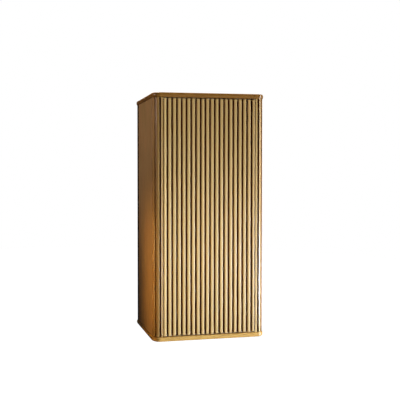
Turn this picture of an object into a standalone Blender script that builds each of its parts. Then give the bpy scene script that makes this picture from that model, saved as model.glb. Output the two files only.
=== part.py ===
"""Wall-mounted bathroom cabinet with a fluted door between two fluted corner posts.

Frame: +X to the right, +Y into the wall, +Z up. The wall plane is Y = 0, and the origin is the middle of
the back board's rear face. All lengths below are millimetres; MM turns them into metres.
"""

import math

import bmesh
import bpy
from mathutils import Matrix, Vector

MM = 0.001
GAP = 0.3  # between pieces that touch

# --- cabinet ---------------------------------------------------------------------------------------------
WIDTH = 400.0
HEIGHT = 835.0
DEPTH = 220.0
BOARD = 16.0  # caps and side panels
OVERHANG = 3.0  # caps past the body, at the sides and the front
CAP_RADIUS = 27.0
BODY_RADIUS = CAP_RADIUS - OVERHANG
BACK_THICK = 20.0

HALF_W = WIDTH / 2 - OVERHANG  # body half width
FRONT_Y = -(DEPTH - OVERHANG)  # front plane of door and posts
INNER_TOP = HEIGHT / 2 - BOARD  # underside of the top cap
BODY_TOP = INNER_TOP - GAP

# --- door ------------------------------------------------------------------------------------------------
DOOR_GAP_X = 3.0
DOOR_GAP_Z = 3.0
DOOR_HALF_W = 160.8
DOOR_TOP = INNER_TOP - DOOR_GAP_Z
DOOR_THICK = 22.0
DOOR_BACK_Y = FRONT_Y + DOOR_THICK
SLATS = 20
SLAT_PITCH = 16.6
SLAT_WIDTH = 10.2
SLAT_THICK = 5.5
SLAT_EASE = 1.2
DOOR_EDGE_EASE = 2.5
BACKING_FRONT_Y = FRONT_Y + SLAT_THICK + GAP

# --- posts -----------------------------------------------------------------------------------------------
POST_INNER_X = DOOR_HALF_W + DOOR_GAP_X
POST_TONGUE_Y = -135.0  # rear end of the tongue that backs the side panel
JOINT_Y = FRONT_Y + 16.0  # post meets side panel
FLUTE_WIDTH = 6.4
FLUTE_DEPTH = 5.0
FLUTE_STEPS = (1.0, 17.6)  # flute centres, as arc length past the start of the rounded corner, at the door's pitch
STOP_X = 152.0  # stop rib behind the door's left edge
STOP_Y = (-193.1, -175.0)

# --- hinges ----------------------------------------------------------------------------------------------
PIVOT_X = DOOR_HALF_W - 19.0
PIVOT_Y = FRONT_Y + 11.5
HINGE_Z = 300.0
CUP_X = DOOR_HALF_W - 22.5
CUP_RADIUS = 17.2
CUP_WALL = 1.0
CUP_HOLE_RADIUS = 17.5
CUP_FLOOR_Y = -210.1
PIN_RADIUS = 1.5

# --- shelves ---------------------------------------------------------------------------------------------
SHELF_THICK = 16.0
SHELF_Z = 127.75  # underside of the upper shelf; the lower one lies as far below the middle
SHELF_FRONT_Y = -172.0
SHELF_PIN_Y = (-125.0, -45.0)
SHELF_PIN_RADIUS = 2.5

# --- latch and hangers -----------------------------------------------------------------------------------
LATCH_X = -130.0
LATCH_Z = 392.0
PLUNGER_RADIUS = 3.5
HANGER_X = 156.0

for old in list(bpy.data.objects):
    bpy.data.objects.remove(old, do_unlink=True)

parts = bpy.data.collections.new("bathroom_cabinet")
tools = bpy.data.collections.new("shaping_tools")
bpy.context.scene.collection.children.link(parts)
bpy.context.scene.collection.children.link(tools)


def material(name, colour, roughness, metallic=0.0):
    made = bpy.data.materials.new(name)
    made.use_nodes = True
    shader = made.node_tree.nodes["Principled BSDF"]
    shader.inputs["Base Color"].default_value = (*colour, 1.0)
    shader.inputs["Roughness"].default_value = roughness
    shader.inputs["Metallic"].default_value = metallic
    made.diffuse_color = (*colour, 1.0)
    return made


OAK = ((0.58, 0.40, 0.20), 0.5)
OAK_SIDE = ((0.36, 0.22, 0.09), 0.5)
INNER_BOARD = ((0.70, 0.58, 0.42), 0.6)
DARK_BOARD = ((0.06, 0.035, 0.02), 0.7)
STEEL = ((0.62, 0.62, 0.60), 0.3, 1.0)
PLASTIC = ((0.80, 0.80, 0.78), 0.45)
RUBBER = ((0.75, 0.75, 0.72), 0.8)


def settle(obj, name, finish, collection=None):
    """Names an object and its mesh, gives it a material of its own and files it in one collection."""
    obj.name = name
    obj.data.name = name
    for home in list(obj.users_collection):
        home.objects.unlink(obj)
    (collection or parts).objects.link(obj)
    if finish:
        obj.data.materials.clear()
        obj.data.materials.append(material(name + "_finish", *finish))
    return obj


def box(name, low, high, finish=None, bevel=0.0, segments=2, collection=None):
    """A block between two corners, with its origin in its middle."""
    bpy.ops.mesh.primitive_cube_add(size=1.0)
    obj = bpy.context.active_object
    size = [(b - a) * MM for a, b in zip(low, high)]
    obj.data.transform(Matrix.Diagonal((*size, 1.0)))
    obj.location = [(a + b) / 2 * MM for a, b in zip(low, high)]
    settle(obj, name, finish, collection)
    if bevel:
        rounding = obj.modifiers.new("eased_edges", "BEVEL")
        rounding.width = bevel * MM
        rounding.segments = segments
        rounding.limit_method = "ANGLE"
        rounding.angle_limit = math.radians(40)
    return obj


def cylinder(name, centre, radius, length, axis, finish=None, sides=32, collection=None):
    """A round bar about X, Y or Z."""
    bpy.ops.mesh.primitive_cylinder_add(vertices=sides, radius=radius * MM, depth=length * MM)
    obj = bpy.context.active_object
    turn = {"X": Matrix.Rotation(math.pi / 2, 4, "Y"), "Y": Matrix.Rotation(math.pi / 2, 4, "X"), "Z": Matrix()}
    obj.data.transform(turn[axis])
    obj.location = [c * MM for c in centre]
    settle(obj, name, finish, collection)
    obj.data.shade_smooth()
    obj.data.set_sharp_from_angle(angle=math.radians(40))
    return obj


def profile(name, loops, height, finish=None, location=(0, 0, 0), rotation=(0, 0, 0), bevel=0.0, collection=None):
    """A flat outline (first loop, later loops are holes) extruded to both sides of its own XY plane."""
    curve = bpy.data.curves.new(name + "_outline", "CURVE")
    curve.dimensions = "2D"
    curve.fill_mode = "BOTH"
    curve.extrude = height / 2 * MM
    for loop in loops:
        spline = curve.splines.new("POLY")
        spline.points.add(len(loop) - 1)
        for point, (x, y) in zip(spline.points, loop):
            point.co = (x * MM, y * MM, 0.0, 1.0)
        spline.use_cyclic_u = True
    guide = bpy.data.objects.new(name + "_outline", curve)
    parts.objects.link(guide)
    guide.location = [c * MM for c in location]
    guide.rotation_euler = rotation
    bpy.context.view_layer.update()
    graph = bpy.context.evaluated_depsgraph_get()
    mesh = bpy.data.meshes.new_from_object(guide.evaluated_get(graph))
    shape = bmesh.new()
    shape.from_mesh(mesh)
    bmesh.ops.remove_doubles(shape, verts=shape.verts, dist=0.02 * MM)
    bmesh.ops.recalc_face_normals(shape, faces=shape.faces)
    shape.to_mesh(mesh)
    shape.free()
    obj = bpy.data.objects.new(name, mesh)
    parts.objects.link(obj)
    obj.matrix_world = guide.matrix_world.copy()
    bpy.data.objects.remove(guide, do_unlink=True)
    settle(obj, name, finish, collection)
    if bevel:
        rounding = obj.modifiers.new("eased_edges", "BEVEL")
        rounding.width = bevel * MM
        rounding.segments = 2
        rounding.limit_method = "ANGLE"
        rounding.angle_limit = math.radians(60)
    return obj


def as_tool(obj):
    """Hides a shaping tool from the finished object."""
    obj.hide_render = True
    obj.display_type = "WIRE"
    return obj


def combine(obj, tool, operation):
    """Joins or cuts with a tool, exactly."""
    as_tool(tool)
    step = obj.modifiers.new(operation.lower() + "_" + tool.name, "BOOLEAN")
    step.operation = operation
    step.solver = "EXACT"
    step.object = tool
    return obj


def arc(cx, cy, radius, start, end, steps):
    """Points on an arc, both ends included; angles in degrees."""
    return [
        (
            cx + radius * math.cos(math.radians(start + (end - start) * i / steps)),
            cy + radius * math.sin(math.radians(start + (end - start) * i / steps)),
        )
        for i in range(steps + 1)
    ]


def mirrored(loop):
    """The same loop on the other side of X = 0."""
    return [(-x, y) for x, y in reversed(loop)]


# --- caps ------------------------------------------------------------------------------------------------
def cap_outline():
    half, front, r = WIDTH / 2, -DEPTH / 2, CAP_RADIUS
    return (
        [(half, DEPTH / 2), (-half, DEPTH / 2)]
        + arc(-half + r, front + r, r, 180, 270, 9)
        + arc(half - r, front + r, r, 270, 360, 9)
    )


for label, sign in (("top", 1), ("bottom", -1)):
    profile(
        f"{label}_cap",
        [cap_outline()],
        BOARD,
        OAK,
        location=(0, -DEPTH / 2, sign * (HEIGHT / 2 - BOARD / 2)),
        bevel=1.5,
    )

# --- side panels, each bored for its four shelf pins -------------------------------------------------------
for label, sign in (("left", -1), ("right", 1)):
    inner, outer = HALF_W - BOARD, HALF_W
    xs = sorted((sign * inner, sign * outer))
    panel = box(
        f"side_panel_{label}",
        (xs[0], JOINT_Y + GAP, -BODY_TOP),
        (xs[1], -BACK_THICK - GAP, BODY_TOP),
        OAK_SIDE,
    )
    for level, base in (("upper", SHELF_Z), ("lower", -SHELF_Z - SHELF_THICK)):
        for place, y in zip(("front", "rear"), SHELF_PIN_Y):
            hole = cylinder(
                f"pin_hole_{label}_{level}_{place}",
                (sign * (inner + 4.0), y, base - GAP - SHELF_PIN_RADIUS),
                SHELF_PIN_RADIUS + GAP,
                12.0,
                "X",
                sides=20,
                collection=tools,
            )
            combine(panel, hole, "DIFFERENCE")


# --- fluted corner posts ---------------------------------------------------------------------------------
def corner_point(s, sink=0.0):
    """A point on the post's face, s past the start of the rounded corner (negative on the flat), sunk in by sink."""
    cx, cy = HALF_W - BODY_RADIUS, FRONT_Y + BODY_RADIUS
    if s <= 0:
        return (cx + s, FRONT_Y + sink)
    turn = s / BODY_RADIUS
    r = BODY_RADIUS - sink
    return (cx + r * math.sin(turn), cy - r * math.cos(turn))


def post_face():
    """The fluted face from the door gap round to the side panel."""
    last = BODY_RADIUS * math.acos(1 - (JOINT_Y - FRONT_Y) / BODY_RADIUS)
    first = POST_INNER_X - (HALF_W - BODY_RADIUS)
    points, s = [corner_point(first)], first
    for centre in (*FLUTE_STEPS, None):
        stop = last if centre is None else centre - FLUTE_WIDTH / 2
        for i in range(1, 5):
            points.append(corner_point(s + (stop - s) * i / 4))
        if centre is not None:
            for side, sink in ((-0.42, FLUTE_DEPTH * 0.8), (-0.28, FLUTE_DEPTH), (0.28, FLUTE_DEPTH), (0.42, FLUTE_DEPTH * 0.8)):
                points.append(corner_point(centre + side * FLUTE_WIDTH, sink))
            s = centre + FLUTE_WIDTH / 2
            points.append(corner_point(s))
    return points


def post_outline(stop_rib):
    face = post_face()
    inner_x = HALF_W - BOARD - GAP
    rest = [(inner_x, JOINT_Y), (inner_x, POST_TONGUE_Y), (POST_INNER_X, POST_TONGUE_Y)]
    if stop_rib:
        rest += [
            (POST_INNER_X, STOP_Y[1]),
            (STOP_X, STOP_Y[1]),
            (STOP_X, STOP_Y[0]),
            (POST_INNER_X, STOP_Y[0]),
        ]
    return face + rest


for label, stop_rib in (("left", True), ("right", False)):
    outline = post_outline(stop_rib)
    if label == "left":
        outline = mirrored(outline)
    cx = (-1 if label == "left" else 1) * (HALF_W - BODY_RADIUS)
    profile(
        f"corner_post_{label}",
        [[(x - cx, y - FRONT_Y) for x, y in outline]],
        2 * BODY_TOP,
        OAK,
        location=(cx, FRONT_Y, 0),
    )

# --- back board with openings for the hangers --------------------------------------------------------------
back = box("back_board", (-HALF_W, -BACK_THICK, -BODY_TOP), (HALF_W, 0, BODY_TOP), DARK_BOARD)
for label, sign in (("left", -1), ("right", 1)):
    window = box(
        f"hanger_window_{label}",
        (sign * HANGER_X - 20, -BACK_THICK - 5, 340),
        (sign * HANGER_X + 20, 5, 392),
        collection=tools,
    )
    combine(back, window, "DIFFERENCE")

# --- shelves and their pins ----------------------------------------------------------------------------------
shelf_mid_y = (-BACK_THICK + SHELF_FRONT_Y) / 2
wide, narrow, notch_y = HALF_W - BOARD - 1.6, POST_INNER_X - 0.6, POST_TONGUE_Y + 0.6
shelf_outline = [
    (x, y - shelf_mid_y)
    for x, y in (
        (wide, -BACK_THICK - GAP),
        (-wide, -BACK_THICK - GAP),
        (-wide, notch_y),
        (-narrow, notch_y),
        (-narrow, SHELF_FRONT_Y),
        (narrow, SHELF_FRONT_Y),
        (narrow, notch_y),
        (wide, notch_y),
    )
]


def shelf_pin(name, sign, y, z):
    """A turned pin: shank in the panel, collar against it, peg under the shelf."""
    # distance along the pin from the panel's face, negative inside the panel, and radius
    steps = ((-8.0, 0.0), (-8.0, 2.5), (GAP, 2.5), (GAP, 4.0), (1.2, 4.0), (1.2, 2.5), (8.5, 2.5), (8.5, 0.0))
    mesh = bpy.data.meshes.new(name)
    shape = bmesh.new()
    row = [shape.verts.new((r * MM, 0, -d * MM)) for d, r in steps]
    for a, b in zip(row, row[1:]):
        shape.edges.new((a, b))
    shape.to_mesh(mesh)
    shape.free()
    obj = bpy.data.objects.new(name, mesh)
    parts.objects.link(obj)
    obj.location = (sign * (HALF_W - BOARD) * MM, y * MM, z * MM)
    # local -Z runs from the panel's face towards the middle of the cabinet
    obj.rotation_euler = (0, math.pi / 2 * sign, 0)
    settle(obj, name, STEEL)
    turn = obj.modifiers.new("turned", "SCREW")
    turn.axis = "Z"
    turn.angle = math.tau
    turn.steps = turn.render_steps = 16
    turn.use_merge_vertices = True
    turn.merge_threshold = 0.00001
    turn.use_smooth_shade = False
    return obj


for level, base in (("upper", SHELF_Z), ("lower", -SHELF_Z - SHELF_THICK)):
    profile(
        f"shelf_{level}",
        [shelf_outline],
        SHELF_THICK,
        INNER_BOARD,
        location=(0, shelf_mid_y, base + SHELF_THICK / 2),
    )
    for label, sign in (("left", -1), ("right", 1)):
        for place, y in zip(("front", "rear"), SHELF_PIN_Y):
            shelf_pin(f"shelf_pin_{level}_{label}_{place}", sign, y, base - GAP - SHELF_PIN_RADIUS)

# --- door: everything on it is parented to an empty on the hinge axis ----------------------------------------
door = bpy.data.objects.new("door_axis", None)
parts.objects.link(door)
door.location = (PIVOT_X * MM, PIVOT_Y * MM, 0)
bpy.context.view_layer.update()


def on_door(obj):
    obj.parent = door
    obj.matrix_parent_inverse = door.matrix_world.inverted()
    return obj


backing_mid = (DOOR_BACK_Y + BACKING_FRONT_Y) / 2
backing = on_door(
    box(
        "door_backing",
        (-DOOR_HALF_W + 0.6, BACKING_FRONT_Y, -DOOR_TOP),
        (DOOR_HALF_W - 0.6, DOOR_BACK_Y, DOOR_TOP),
        DARK_BOARD,
    )
)
for label, z in (("upper", HINGE_Z), ("lower", -HINGE_Z)):
    hole = cylinder(
        f"cup_hole_{label}",
        (CUP_X, (CUP_FLOOR_Y - GAP + DOOR_BACK_Y + 5) / 2, z),
        CUP_HOLE_RADIUS,
        DOOR_BACK_Y + 5 - CUP_FLOOR_Y + GAP,
        "Y",
        sides=40,
        collection=tools,
    )
    combine(backing, hole, "DIFFERENCE")


def slat_outline(width, ease_left, ease_right):
    """Cross-section with its front corners eased; the front is at -Y."""
    half, front, rear = width / 2, -SLAT_THICK / 2, SLAT_THICK / 2
    return (
        [(half, rear), (-half, rear)]
        + arc(-half + ease_left, front + ease_left, ease_left, 180, 270, 4)
        + arc(half - ease_right, front + ease_right, ease_right, 270, 360, 4)
    )


for k in range(SLATS):
    centre = (k - (SLATS - 1) / 2) * SLAT_PITCH
    left, right = centre - SLAT_WIDTH / 2, centre + SLAT_WIDTH / 2
    left, right = max(left, -DOOR_HALF_W), min(right, DOOR_HALF_W)
    on_door(
        profile(
            f"door_slat_{k + 1:02d}",
            [slat_outline(right - left, DOOR_EDGE_EASE if k == 0 else SLAT_EASE, DOOR_EDGE_EASE if k == SLATS - 1 else SLAT_EASE)],
            2 * DOOR_TOP,
            OAK,
            location=((left + right) / 2, FRONT_Y + SLAT_THICK / 2, 0),
        )
    )

# --- hinges ----------------------------------------------------------------------------------------------
ARM_PATH = ((0.0, 0.0), (-14.0, 8.2), (-18.3, 13.8), (-18.3, 20.5), (-13.0, 25.0), (12.0, 25.0))
ARM_THICK = 2.5
ARM_WIDTH = 9.0


def ribbon(path, thick):
    """The outline of a strip of even thickness along an open path, with mitred bends."""
    pts = [Vector(p) for p in path]
    sides = ([], [])
    for i, p in enumerate(pts):
        before = (p - pts[i - 1]).normalized() if i else None
        after = (pts[i + 1] - p).normalized() if i < len(pts) - 1 else None
        along = (before or after) if not (before and after) else (before + after).normalized()
        across = Vector((-along.y, along.x))
        stretch = 1.0 if not (before and after) else 1.0 / max(0.5, along.dot(after))
        for side, sign in zip(sides, (1, -1)):
            q = p + across * (sign * thick / 2 * stretch)
            side.append((q.x, q.y))
    return sides[1] + sides[0][::-1]


for label, z in (("upper", HINGE_Z), ("lower", -HINGE_Z)):
    plate = box(
        f"hinge_{label}_plate",
        (POST_INNER_X - GAP - 2.5, -180, z - 24),
        (POST_INNER_X - GAP, -150, z + 24),
        STEEL,
    )
    combine(
        plate,
        box(
            f"plate_rib_{label}",
            (POST_INNER_X - GAP - 4.0, -178, z - 5.5),
            (POST_INNER_X - GAP - 1.0, -140, z + 5.5),
            collection=tools,
        ),
        "UNION",
    )
    arm = profile(
        f"hinge_{label}_arm",
        [ribbon(ARM_PATH, ARM_THICK)],
        ARM_WIDTH,
        STEEL,
        location=(PIVOT_X, PIVOT_Y, z),
    )
    combine(
        arm,
        box(
            f"arm_body_{label}",
            (PIVOT_X + 9.5, PIVOT_Y + 22.5, z - 6),
            (POST_INNER_X - 2 * GAP - 4.0, -132, z + 6),
            collection=tools,
        ),
        "UNION",
    )
    combine(
        arm,
        cylinder(f"arm_eye_{label}", (PIVOT_X, PIVOT_Y, z), 2.9, ARM_WIDTH - 0.8, "Z", sides=24, collection=tools),
        "UNION",
    )
    combine(
        arm,
        cylinder(f"arm_bore_{label}", (PIVOT_X, PIVOT_Y, z), PIN_RADIUS + GAP, ARM_WIDTH + 6, "Z", sides=20, collection=tools),
        "DIFFERENCE",
    )
    cup_front, flange_y = CUP_FLOOR_Y, DOOR_BACK_Y + GAP
    cup = on_door(
        cylinder(
            f"hinge_{label}_cup",
            (CUP_X, (cup_front + flange_y + 0.5) / 2, z),
            CUP_RADIUS,
            flange_y + 0.5 - cup_front,
            "Y",
            STEEL,
            sides=40,
        )
    )
    combine(cup, cylinder(f"cup_rim_{label}", (CUP_X, flange_y + 0.5, z), 18.5, 1.0, "Y", sides=40, collection=tools), "UNION")
    combine(
        cup,
        box(f"cup_wings_{label}", (CUP_X - 8, flange_y + 0.1, z - 26), (CUP_X + 8, flange_y + 0.9, z + 26), collection=tools),
        "UNION",
    )
    combine(
        cup,
        cylinder(
            f"cup_hollow_{label}",
            (CUP_X, (cup_front + 0.8 + flange_y + 8) / 2, z),
            CUP_RADIUS - CUP_WALL,
            flange_y + 8 - cup_front - 0.8,
            "Y",
            sides=40,
            collection=tools,
        ),
        "DIFFERENCE",
    )
    on_door(cylinder(f"hinge_{label}_pin", (PIVOT_X, PIVOT_Y, z), PIN_RADIUS, 30.0, "Z", STEEL, sides=20))

# --- push latch under the top cap, its strike plate and the bumpers on the door --------------------------------
latch = box(
    "push_latch_housing",
    (LATCH_X - 9, -191, LATCH_Z - 6.5),
    (LATCH_X + 9, -140, INNER_TOP - GAP),
    PLASTIC,
    bevel=1.0,
)
combine(
    latch,
    cylinder("latch_bore", (LATCH_X, -178, LATCH_Z), PLUNGER_RADIUS + 0.4, 40, "Y", sides=24, collection=tools),
    "DIFFERENCE",
)
plunger_tip = DOOR_BACK_Y + GAP + 0.8 + GAP
cylinder(
    "push_latch_plunger",
    (LATCH_X, (plunger_tip - 165) / 2, LATCH_Z),
    PLUNGER_RADIUS,
    -165 - plunger_tip,
    "Y",
    PLASTIC,
    sides=24,
)
on_door(
    box(
        "strike_plate",
        (LATCH_X - 11, DOOR_BACK_Y + GAP, LATCH_Z - 6),
        (LATCH_X + 11, DOOR_BACK_Y + GAP + 0.8, LATCH_Z + 4),
        STEEL,
    )
)
for label, z in (("upper", 360.0), ("lower", -360.0)):
    on_door(
        cylinder(
            f"door_bumper_{label}",
            (-156.2, DOOR_BACK_Y + GAP + 0.65, z),
            4.0,
            1.3,
            "Y",
            RUBBER,
            sides=24,
        )
    )

# --- cabinet hangers and their wall plates ---------------------------------------------------------------------
HOOK_OUTLINE = ((-2.6, 369.6), (-5.8, 369.6), (-5.8, 379.2), (-20.0, 379.2), (-20.0, 386.0), (-2.6, 386.0))
WALL_PLATE_OUTLINE = (
    (0.0, 344.0),
    (0.0, 368.0),
    (-7.0, 368.0),
    (-7.0, 378.6),
    (-9.0, 378.6),
    (-9.0, 366.0),
    (-2.0, 366.0),
    (-2.0, 344.0),
)


def upright(name, outline, x, width, finish):
    """An outline in the YZ plane, width across X."""
    mid_y = sum(y for y, _ in outline) / len(outline)
    mid_z = sum(z for _, z in outline) / len(outline)
    return profile(
        name,
        [[(y - mid_y, z - mid_z) for y, z in outline]],
        width,
        finish,
        location=(x, mid_y, mid_z),
        rotation=(math.pi / 2, 0, math.pi / 2),
    )


for label, sign in (("left", -1), ("right", 1)):
    xs = sorted((sign * 131.0, sign * (HALF_W - BOARD - GAP)))
    housing = box(
        f"hanger_housing_{label}",
        (xs[0], -46, 337),
        (xs[1], -BACK_THICK - GAP, 396),
        PLASTIC,
        bevel=2.0,
    )
    for n, z in enumerate((352.0, 374.0)):
        combine(
            housing,
            cylinder(f"adjuster_{label}_{n}", (sign * HANGER_X, -46, z), 4.0, 8.0, "Y", sides=24, collection=tools),
            "DIFFERENCE",
        )
    upright(f"hanger_hook_{label}", HOOK_OUTLINE, sign * HANGER_X, 12.0, STEEL)
    plate = upright(f"wall_plate_{label}", WALL_PLATE_OUTLINE, sign * HANGER_X, 36.0, STEEL)
    combine(
        plate,
        cylinder(f"wall_screw_hole_{label}", (sign * HANGER_X, -1, 354), 3.0, 8.0, "Y", sides=24, collection=tools),
        "DIFFERENCE",
    )
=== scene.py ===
"""Looks of the wall-mounted bathroom cabinet with a fluted oak door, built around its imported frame."""

import math
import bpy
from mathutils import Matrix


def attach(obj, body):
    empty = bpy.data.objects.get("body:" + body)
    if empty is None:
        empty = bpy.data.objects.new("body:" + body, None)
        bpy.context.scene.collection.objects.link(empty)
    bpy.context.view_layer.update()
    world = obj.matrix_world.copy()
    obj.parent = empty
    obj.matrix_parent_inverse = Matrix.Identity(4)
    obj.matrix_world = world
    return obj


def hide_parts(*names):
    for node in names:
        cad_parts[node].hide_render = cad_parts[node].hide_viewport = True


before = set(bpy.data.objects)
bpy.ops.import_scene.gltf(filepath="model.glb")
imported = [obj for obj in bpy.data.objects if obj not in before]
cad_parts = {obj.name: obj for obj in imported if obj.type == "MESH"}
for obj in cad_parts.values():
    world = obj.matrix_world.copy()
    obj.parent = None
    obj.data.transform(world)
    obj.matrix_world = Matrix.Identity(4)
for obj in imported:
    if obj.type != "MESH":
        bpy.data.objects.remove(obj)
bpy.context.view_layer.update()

import zlib

import bmesh
import bpy
import numpy as np
from mathutils import Matrix, Vector

MM = 0.001
SCENE = bpy.context.scene

# --- sizes, in millimetres, as in the CAD ------------------------------------------------------------------
WIDTH, HEIGHT, DEPTH = 400.0, 835.0, 220.0
BOARD, CAP_RADIUS, BODY_RADIUS = 16.0, 27.0, 24.0
HALF_W, FRONT_Y = 197.0, -217.0
INNER_TOP, BODY_TOP = 401.5, 401.2
DOOR_HALF_W, DOOR_TOP, DOOR_BACK_Y = 160.8, 398.5, -195.0
SLATS, SLAT_PITCH, SLAT_WIDTH, SLAT_THICK = 20, 16.6, 10.2, 5.5
BACKING_FRONT_Y = -211.2
POST_INNER_X, POST_TONGUE_Y, JOINT_Y = 163.8, -135.0, -201.0
HINGE_Z, PIVOT_X, PIVOT_Y, CUP_X = 300.0, 141.8, -205.5, 138.3
SHELF_Z, SHELF_THICK, SHELF_FRONT_Y = 127.75, 16.0, -172.0
SHELF_PIN_Y = (-125.0, -45.0)
LATCH_X, LATCH_Z, HANGER_X = -130.0, 392.0, 156.0
SIDES = (("left", -1), ("right", 1))
LEVELS = (("upper", 1), ("lower", -1))

# --- camera, at the photograph's viewing angle ---------------------------------------------------------------
eye = bpy.data.objects.new("camera", bpy.data.cameras.new("camera"))
SCENE.collection.objects.link(eye)
eye.data.sensor_width = 36.0
eye.data.lens = 45.0
eye.data.shift_x = 0.28
eye.data.shift_y = -0.04
eye.data.clip_start, eye.data.clip_end = 0.05, 60.0
eye.location = (-0.66141, -1.82706, 0.14509)
eye.rotation_euler = (math.radians(88.90), math.radians(0.22), math.radians(-8.62))
SCENE.camera = eye


# --- materials -----------------------------------------------------------------------------------------------
class Finish:
    """A material with short calls for its nodes."""

    def __init__(self, name):
        self.material = bpy.data.materials.new(name)
        self.material.use_nodes = True
        self.tree = self.material.node_tree
        self.shader = self.tree.nodes["Principled BSDF"]

    def node(self, kind, inputs=None, **settings):
        made = self.tree.nodes.new("ShaderNode" + kind)
        for key, value in settings.items():
            setattr(made, key, value)
        for key, value in (inputs or {}).items():
            self.feed(made.inputs[key], value)
        return made

    def feed(self, socket, value):
        if isinstance(value, bpy.types.NodeSocket):
            self.tree.links.new(value, socket)
        else:
            socket.default_value = value

    def set(self, **values):
        for key, value in values.items():
            self.feed(self.shader.inputs[key.replace("_", " ")], value)

    def math(self, operation, a, b=0.5, clamp=False):
        return self.node("Math", {0: a, 1: b}, operation=operation, use_clamp=clamp).outputs[0]

    def scaled(self, vector, by):
        return self.node("VectorMath", {0: vector, 1: by}, operation="MULTIPLY").outputs[0]

    def noise(self, vector, detail=2.0, roughness=0.5, distortion=0.0):
        inputs = {"Vector": vector, "Scale": 1.0, "Detail": detail, "Roughness": roughness, "Distortion": distortion}
        return self.node("TexNoise", inputs).outputs["Fac"]

    def span(self, value, low, high, to_low=0.0, to_high=1.0, smooth=False):
        inputs = {"Value": value, "From Min": low, "From Max": high, "To Min": to_low, "To Max": to_high}
        return self.node("MapRange", inputs, interpolation_type="SMOOTHSTEP" if smooth else "LINEAR").outputs[0]

    def ramp(self, factor, stops, interpolation="LINEAR"):
        made = self.node("ValToRGB", {"Fac": factor})
        elements = made.color_ramp.elements
        made.color_ramp.interpolation = interpolation
        while len(elements) < len(stops):
            elements.new(0.5)
        for element, (place, colour) in zip(elements, stops):
            element.position = place
        for element, (place, colour) in zip(elements, stops):
            element.color = (*colour, 1.0)
        return made.outputs["Color"]

    def mix(self, factor, a, b, blend="MIX"):
        made = self.node("Mix", data_type="RGBA", blend_type=blend)
        for key, value in ((0, factor), (6, a), (7, b)):
            if not isinstance(value, (bpy.types.NodeSocket, float, int)):
                value = (*value, 1.0)
            self.feed(made.inputs[key], value)
        return made.outputs[2]

    def bump(self, height, distance, strength=1.0):
        made = self.node("Bump", {"Height": height, "Strength": strength, "Distance": distance * MM})
        self.set(Normal=made.outputs["Normal"])


def shade(colour, by):
    return tuple(min(1.0, c * k) for c, k in zip(colour, by if isinstance(by, tuple) else (by,) * 3))


def veer(colour, amount):
    """A colour factor moved from plain white by an amount."""
    return tuple(1.0 + (c - 1.0) * amount for c in colour)


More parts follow.
